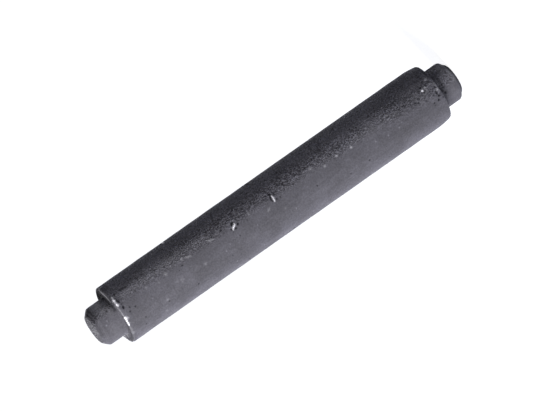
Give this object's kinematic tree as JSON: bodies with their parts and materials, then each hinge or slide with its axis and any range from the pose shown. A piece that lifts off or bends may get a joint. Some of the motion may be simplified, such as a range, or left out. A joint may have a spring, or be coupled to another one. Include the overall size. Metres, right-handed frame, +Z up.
{
  "type": "axle pin",
  "caption": "Solid steel axle pin: a plain round barrel with a shorter, thinner chamfered journal at each end.",
  "frame": {"origin": "centre of the lower journal's flat end face, which the pin stands on", "axes": "+Z up along the pin's axis, from the rolled lower end to the sharp-edged upper end"},
  "size_m": [0.006, 0.006, 0.0414],
  "materials": {
    "blackened_steel": "phosphate blackened, satin, bright where the edges are worn"
  },
  "bodies": {
    "root": {"axle_pin": "blackened_steel"}
  },
  "joints": []
}
